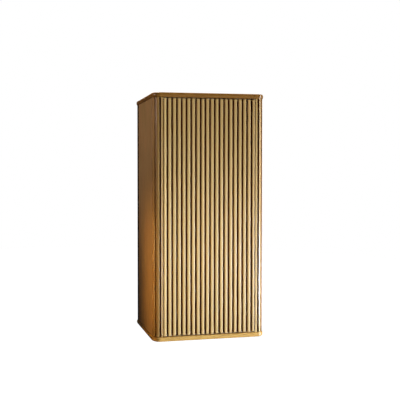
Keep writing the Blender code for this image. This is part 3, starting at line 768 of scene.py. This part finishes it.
# the first slat (k = 0) takes the paler copy of the oak: painted highlight
for k in range(SLATS):
    centre = (k - (SLATS - 1) / 2) * SLAT_PITCH
    left, right = max(centre - SLAT_WIDTH / 2, -DOOR_HALF_W), min(centre + SLAT_WIDTH / 2, DOOR_HALF_W)
    outline = slat_outline(left, right, 1.2, 1.2)
    slat = prism(f"door_slat_{k + 1:02d}", outline, -DOOR_TOP, DOOR_TOP, ease=0.7, segments=3)
    grain(slat)
    # the slats' sides down in the grooves take the dark groove colour: painted shade
    paint(slat, OAK_SLAT if k else OAK_SLAT_PAINTED_HIGHLIGHT, GROOVE_STAIN_AND_SHADE, pick=lambda c, n: 1 if (abs(n.x) > 0.9 and c.y > -215.2) or n.y > 0.9 else 0)
    finish_surface(slat, 42)
    settle(slat, "door", f"door_slat_{k + 1:02d}")


# --- screws --------------------------------------------------------------------------------------------------
def cross_screw(radius, kind):
    """A screw head with a cross recess, its seat at z = 0 and its top at +z. One mesh serves each size and kind."""
    key = f"{kind}_screw_{radius:g}".replace(".", "_")
    found = bpy.data.meshes.get(key)
    if found:
        return found
    if kind == "pan":
        h = radius * 0.42
        steps = [(0.0, -0.4), (radius * 0.96, -0.4), (radius, -0.25), (radius, h * 0.25)]
        steps += [(radius * math.cos(t), h * (0.25 + 0.75 * math.sin(t))) for t in (math.radians(a) for a in (15, 30, 45, 60, 75))]
        steps.append((0.0, h))
    else:
        h = 0.12
        steps = [(0.0, -radius * 0.5), (radius * 0.5, -radius * 0.5), (radius, -0.15), (radius * 0.98, 0.0), (radius * 0.7, h * 0.8), (0.0, h)]
    head = turned(key, steps, sides=28)
    arm, thick = radius * 0.62, radius * 0.17
    cutters = []
    for a, b in ((arm, thick), (thick, arm)):
        cutters.append(block("recess", (-a, -b, h - radius * 0.42), (a, b, h + 1.0), ease=0))
    carve(head, *cutters)
    mesh = head.data
    mesh.name = key
    mesh.shade_smooth()
    mesh.set_sharp_from_angle(angle=math.radians(40))
    bpy.data.objects.remove(head, do_unlink=True)
    return mesh


def screw(name, at, direction, radius, body, kind="pan", turn=20.0, material=None):
    mesh = cross_screw(radius, kind)
    obj = bpy.data.objects.new(name, mesh)
    SCENE.collection.objects.link(obj)
    if not mesh.materials:
        mesh.materials.append(ZINC)
    spin = Matrix.Rotation(math.radians(turn), 4, "Z")
    obj.matrix_world = (
        Matrix.Translation(Vector(at) * MM) @ Vector((0, 0, 1)).rotation_difference(Vector(direction)).to_matrix().to_4x4() @ spin
    )
    return settle(obj, body, ())


# --- hinges --------------------------------------------------------------------------------------------------
ARM_PATH = ((0.0, 0.0), (-14.0, 8.2), (-18.3, 13.8), (-18.3, 20.5), (-13.0, 25.0), (12.0, 25.0))


def ribbon(path, thick):
    """The outline of a strip of even thickness along an open path, with mitred bends."""
    pts = [Vector(p) for p in path]
    sides = ([], [])
    for i, p in enumerate(pts):
        before = (p - pts[i - 1]).normalized() if i else None
        after = (pts[i + 1] - p).normalized() if i < len(pts) - 1 else None
        along = (before or after) if not (before and after) else (before + after).normalized()
        across = Vector((-along.y, along.x))
        stretch = 1.0 if not (before and after) else 1.0 / max(0.5, along.dot(after))
        for side, sign in zip(sides, (1, -1)):
            q = p + across * (sign * thick / 2 * stretch)
            side.append((q.x, q.y))
    return sides[1] + sides[0][::-1]


for level, up in LEVELS:
    z = up * HINGE_Z
    # cup pressed into the door, with its two screwed wings
    cup_steps = [
        (0.0, -210.1), (15.9, -210.1), (16.8, -209.8), (17.2, -209.0), (17.2, -194.7), (18.2, -194.7), (18.5, -194.45),
        (18.5, -194.0), (18.2, -193.75), (17.6, -193.7), (16.8, -193.7), (16.35, -193.85), (16.2, -194.3), (16.2, -208.4),
        (15.9, -209.0), (15.2, -209.3), (0.0, -209.3),
    ]
    cup = turned(f"hinge_{level}_cup", cup_steps, (CUP_X, 0, z), (0, 1, 0), sides=72)
    wing = rounded(
        [
            (CUP_X - 8, z - 26, 4.0), (CUP_X + 8, z - 26, 4.0), (CUP_X + 8, z + 26, 4.0), (CUP_X - 8, z + 26, 4.0),
        ],
        5,
    )
    plate = prism(f"wing_{level}", wing, -194.62, -193.82, axis="Y", ease=0.25)
    carve(plate, drill([((CUP_X, -194.2, z), (0, 1, 0), 16.9, 4.0)], 72))
    carve(cup, plate, operation="UNION")
    paint(cup, NICKEL)
    finish_surface(cup, 35)
    settle(cup, "door", f"hinge_{level}_cup")
    for n, dz in enumerate((-22.3, 22.3)):
        screw(f"hinge_{level}_cup_screw_{n + 1}", (CUP_X, -193.82, z + dz), (0, 1, 0), 2.7, "door", turn=15 + 50 * n)

    # two cheeks inside the cup that hold the knuckle pin
    cheeks = block(f"hinge_{level}_cheeks", (136.5, -209.2, z + 5.3), (146.0, -201.8, z + 6.8), ease=0.3)
    other = block("cheek", (136.5, -209.2, z - 6.8), (146.0, -201.8, z - 5.3), ease=0.3)
    base_plate = block("cheek_base", (135.5, -209.25, z - 9.5), (147.0, -208.3, z + 9.5), ease=0.2)
    carve(cheeks, other, base_plate, operation="UNION")
    carve(cheeks, drill([((PIVOT_X, PIVOT_Y, z), (0, 0, 1), 1.56, 40.0)], 32))
    paint(cheeks, NICKEL)
    finish_surface(cheeks)
    settle(cheeks, "door", ())

    pin = turned(
        f"hinge_{level}_pin",
        [(0.0, -15.0), (1.0, -15.0), (1.35, -14.8), (1.5, -14.4), (1.5, 14.4), (1.35, 14.8), (1.0, 15.0), (0.0, 15.0)],
        (PIVOT_X, PIVOT_Y, z),
        sides=32,
    )
    paint(pin, ZINC)
    finish_surface(pin, 40, weighted=False)
    settle(pin, "door", f"hinge_{level}_pin")

    # arm: a bent link with an eye round the pin, and a channel over the mounting plate
    strip = rounded([(PIVOT_X + a, PIVOT_Y + b, 1.1) for a, b in ribbon(ARM_PATH, 2.5)], 4)
    arm = prism(f"hinge_{level}_arm", strip, z - 4.5, z + 4.5, ease=0.35)
    shell = block(f"shell_{level}", (151.3, -183.0, z - 6.0), (159.2, -132.0, z + 6.0), ease=1.3)
    carve(shell, block("pocket", (152.6, -181.4, z - 4.8), (161.0, -133.4, z + 4.8), ease=0))
    slots = prism("slot", rounded([(-156.5, z - 1.6, 1.5), (-146.5, z - 1.6, 1.5), (-146.5, z + 1.6, 1.5), (-156.5, z + 1.6, 1.5)], 5), 150.0, 154.0, axis="X")
    carve(shell, slots)
    eye_ring = turned(f"eye_{level}", [(0.0, -4.1), (2.6, -4.1), (2.9, -3.8), (2.9, 3.8), (2.6, 4.1), (0.0, 4.1)], (PIVOT_X, PIVOT_Y, z), sides=40)
    carve(arm, shell, eye_ring, operation="UNION")
    carve(arm, drill([((PIVOT_X, PIVOT_Y, z), (0, 0, 1), 1.8, 20.0)], 32))
    paint(arm, NICKEL)
    finish_surface(arm, 35)
    settle(arm, "cabinet", f"hinge_{level}_arm")
    screw(f"hinge_{level}_arm_screw_1", (151.3, -171.5, z), (-1, 0, 0), 2.9, "cabinet", turn=35)
    screw(f"hinge_{level}_arm_screw_2", (151.3, -151.5, z), (-1, 0, 0), 3.3, "cabinet", turn=60)

    # mounting plate screwed to the post's tongue
    x0, x1 = POST_INNER_X - 2.8, POST_INNER_X - 0.3
    outline = rounded([(-180, z - 24, 5.0), (-150, z - 24, 5.0), (-150, z + 24, 5.0), (-180, z + 24, 5.0)], 6)
    mount = prism(f"hinge_{level}_plate", outline, x0, x1, axis="X", ease=0.5)
    rib = block("rib", (x0 - 1.5, -178, z - 5.5), (x0 + 1.5, -140, z + 5.5), ease=0.6)
    carve(mount, rib, operation="UNION")
    paint(mount, NICKEL)
    finish_surface(mount, 35)
    settle(mount, "cabinet", f"hinge_{level}_plate")
    for n, dz in enumerate((-16.0, 16.0)):
        screw(f"hinge_{level}_plate_screw_{n + 1}", (x0, -165.0, z + dz), (-1, 0, 0), 3.6, "cabinet", turn=10 + 65 * n)


# --- push latch, its strike plate and the door bumpers -----------------------------------------------------------
housing = block("push_latch_housing", (LATCH_X - 9, -191, LATCH_Z - 6.5), (LATCH_X + 9, -140, INNER_TOP - 0.3), ease=1.6, segments=4)
slots = []
for side in (-1, 1):
    for n in range(3):
        y = -178 + 12 * n
        x = LATCH_X + side * 9
        slots.append(block("slot", (x - 0.6, y - 2.2, LATCH_Z - 4), (x + 0.6, y + 2.2, LATCH_Z + 4.6), ease=0))
carve(housing, *slots)
carve(housing, drill([((LATCH_X, -178, LATCH_Z), (0, 1, 0), 3.9, 40.0), ((LATCH_X, -191, LATCH_Z), (0, 1, 0), 4.9, 1.6)], 48))
paint(housing, PLASTIC)
finish_surface(housing, 35)
settle(housing, "cabinet", "push_latch_housing")
for n, y in enumerate((-181.0, -147.0)):
    screw(f"push_latch_screw_{n + 1}", (LATCH_X, y, LATCH_Z - 6.5), (0, 0, -1), 2.8, "cabinet", turn=25 + 40 * n)

tip = DOOR_BACK_Y + 1.4
plunger = turned(
    "push_latch_plunger",
    [
        (0.0, 0.0), (2.3, 0.0), (2.7, 0.15), (2.9, 0.5), (2.9, 2.2), (3.3, 2.4), (3.5, 2.7), (3.5, 6.0), (3.3, 6.3), (3.3, 6.9),
        (3.5, 7.2), (3.5, 27.6), (3.1, 28.2), (0.0, -165 - tip),
    ],
    (LATCH_X, tip, LATCH_Z),
    (0, 1, 0),
    sides=48,
)
paint(plunger, PLUNGER_GREY)
finish_surface(plunger, 35, weighted=False)
settle(plunger, "latch_plunger", "push_latch_plunger")

outline = rounded([(LATCH_X + a, LATCH_Z - 1 + b, 2.0) for a, b in ((-11, -5), (11, -5), (11, 5), (-11, 5))], 5)
strike = prism("strike_plate", outline, DOOR_BACK_Y + 0.3, DOOR_BACK_Y + 1.1, axis="Y", ease=0.2)
carve(strike, drill([((LATCH_X + d, DOOR_BACK_Y + 1.1, LATCH_Z - 1), (0, 1, 0), 2.0, 0.9) for d in (-7.6, 7.6)], 32))
paint(strike, NICKEL)
finish_surface(strike, 35)
settle(strike, "door", "strike_plate")
for n, d in enumerate((-7.6, 7.6)):
    screw(f"strike_screw_{n + 1}", (LATCH_X + d, DOOR_BACK_Y + 0.95, LATCH_Z - 1), (0, 1, 0), 1.9, "door", kind="flat", turn=30 + 40 * n)

for level, up in LEVELS:
    bumper = turned(
        f"door_bumper_{level}",
        [(0.0, 0.0), (3.8, 0.0), (4.0, 0.2), (4.0, 0.45), (3.75, 0.75), (3.2, 1.02), (2.3, 1.2), (1.2, 1.28), (0.0, 1.3)],
        (-156.2, DOOR_BACK_Y + 0.3, up * 360.0),
        (0, 1, 0),
        sides=40,
    )
    paint(bumper, RUBBER)
    finish_surface(bumper, 50, weighted=False)
    settle(bumper, "door", f"door_bumper_{level}")


# --- hangers: moulded housings with two adjusters each, steel hooks, and the plates on the wall --------------------
HOOK = ((-2.6, 369.6, 0.8), (-5.8, 369.6, 0.8), (-5.8, 379.2, 2.0), (-20.0, 379.2, 0.5), (-20.0, 386.0, 0.5), (-2.6, 386.0, 2.5))
WALL_PLATE = (
    (0.0, 344.0, 0.4), (0.0, 368.0, 2.0), (-7.0, 368.0, 2.0), (-7.0, 378.6, 0.8),
    (-9.0, 378.6, 0.8), (-9.0, 366.0, 3.0), (-2.0, 366.0, 1.5), (-2.0, 344.0, 0.8),
)
for label, sign in SIDES:
    xs = sorted((sign * 131.0, sign * (HALF_W - BOARD - 0.3)))
    base = block(f"hanger_housing_{label}", (xs[0], -39.8, 337), (xs[1], -20.3, 396), ease=1.2)
    paint(base, PLASTIC)
    finish_surface(base)
    settle(base, "cabinet", f"hanger_housing_{label}")
    cover = block(f"hanger_cover_{label}", (xs[0], -46, 337), (xs[1], -40.1, 396), ease=2.2, segments=4)
    carve(cover, drill([((sign * HANGER_X, -46, z), (0, 1, 0), 4.4, 8.0) for z in (352.0, 374.0)], 48))
    ribs = [block("rib", (xs[0] + 6, -46.5, z - 0.5), (xs[0] + 14, -45.4, z + 0.5), ease=0) for z in (348, 352, 356, 360, 364, 368, 372, 376, 380, 384)]
    carve(cover, *ribs)
    paint(cover, PLASTIC)
    finish_surface(cover, 35)
    settle(cover, "cabinet", ())
    for n, z in enumerate((352.0, 374.0)):
        screw(f"hanger_{label}_adjuster_{n + 1}", (sign * HANGER_X, -42.6, z), (0, -1, 0), 3.9, "cabinet", turn=12 + 50 * n)
    hook = prism(f"hanger_hook_{label}", rounded(HOOK, 4), sign * HANGER_X - 6, sign * HANGER_X + 6, axis="X", ease=0.5)
    paint(hook, ZINC)
    finish_surface(hook, 35)
    settle(hook, "cabinet", f"hanger_hook_{label}")
    plate = prism(f"wall_plate_{label}", rounded(WALL_PLATE, 4), sign * HANGER_X - 18, sign * HANGER_X + 18, axis="X", ease=0.4)
    carve(
        plate,
        drill([((sign * HANGER_X, -1, 354), (0, 1, 0), 3.0, 8.0), ((sign * HANGER_X, -2, 354), (0, 1, 0), 4.4, 1.4)], 40),
        drill([((sign * HANGER_X + d, -1, 356), (0, 1, 0), 1.6, 8.0) for d in (-12, 12)], 28),
    )
    paint(plate, ZINC)
    finish_surface(plate, 35)
    settle(plate, "cabinet", f"wall_plate_{label}")


# --- floor, surroundings and light -----------------------------------------------------------------------------
shape = bmesh.new()
bmesh.ops.create_circle(shape, cap_ends=True, segments=96, radius=9.0)
floor = new_object("floor", shape)
floor.location = (0, 0, -1.45)
f = Finish("pale_floor")
place = f.node("TexCoord").outputs["Object"]
soft = f.noise(f.scaled(place, (1.2, 1.2, 1.2)), 2.0)
f.set(Base_Color=f.ramp(soft, [(0.3, (0.80, 0.80, 0.79)), (0.7, (0.83, 0.83, 0.82))]), Roughness=0.8)
f.set(Emission_Color=f.ramp(soft, [(0.3, (0.99, 0.99, 0.99)), (0.7, (1.0, 1.0, 1.0))]), Emission_Strength=1.02)
floor.data.materials.append(f.material)
floor.visible_diffuse = floor.visible_glossy = False

world = bpy.data.worlds.new("studio")
SCENE.world = world
world.use_nodes = True
nodes, links = world.node_tree.nodes, world.node_tree.links
nodes.clear()
out = nodes.new("ShaderNodeOutputWorld")
choose = nodes.new("ShaderNodeMixShader")
seen = nodes.new("ShaderNodeBackground")
seen.inputs["Color"].default_value = (1.0, 1.0, 1.0, 1.0)
fill = nodes.new("ShaderNodeBackground")
fill.inputs["Color"].default_value = (0.92, 0.95, 1.0, 1.0)
fill.inputs["Strength"].default_value = 0.02
rays = nodes.new("ShaderNodeLightPath")
links.new(rays.outputs["Is Camera Ray"], choose.inputs[0])
links.new(fill.outputs[0], choose.inputs[1])
links.new(seen.outputs[0], choose.inputs[2])
links.new(choose.outputs[0], out.inputs[0])


def softbox(name, at, target, size, power, colour, spread=180.0):
    data = bpy.data.lights.new(name, "AREA")
    data.shape = "RECTANGLE"
    data.size, data.size_y = size
    data.energy = power
    data.color = colour
    data.spread = math.radians(spread)
    obj = bpy.data.objects.new(name, data)
    SCENE.collection.objects.link(obj)
    obj.location = at
    obj.rotation_euler = (Vector(target) - Vector(at)).to_track_quat("-Z", "Y").to_euler()
    return obj


# a warm bank to the right, aimed low; a broad window in front that shows as a sheen; weaker light all round
softbox("key_middle", (2.95, -2.30, -0.86), (-0.31, -0.21, -0.185), (0.8, 0.5), 5.90, (0.605, 0.712, 0.985), 21.0)
softbox("window", (0.96, -2.72, -0.47), (0.0, -0.21, -0.10), (1.3, 0.45), 0.64, (0.98, 0.935, 0.97))
softbox("side_low", (-2.1, -0.48, -0.50), (-0.197, -0.205, -0.21), (0.05, 0.45), 0.188, (1, 0.576, 0.19), 11.0)
softbox("side_high", (-2.1, -0.82, 0.75), (-0.2, -0.12, 0.34), (0.6, 0.5), 0.73, (1, 0.836, 0.875), 34.0)
softbox("rim_high", (1.81, -1.07, 0.70), (0.18, -0.20, 0.20), (0.40, 1.6), 13.2, (1, 0.995, 0.985), 120.0)
softbox("rim_low", (1.86, -0.96, -1.0), (0.18, -0.20, -0.20), (0.55, 1.8), 16.5, (1, 0.95, 0.818), 120.0)
softbox("overhead", (0.0, 0.55, 2.3), (0.0, -0.1, 0.42), (0.35, 0.5), 6.0, (1.0, 0.98, 0.95), 40.0)
softbox("rear_fill", (0.9, 2.6, 0.9), (0.0, 0.0, 0.0), (1.6, 1.2), 30.0, (1.0, 0.98, 0.95))

SCENE.view_settings.view_transform = "Standard"
SCENE.view_settings.look = "None"
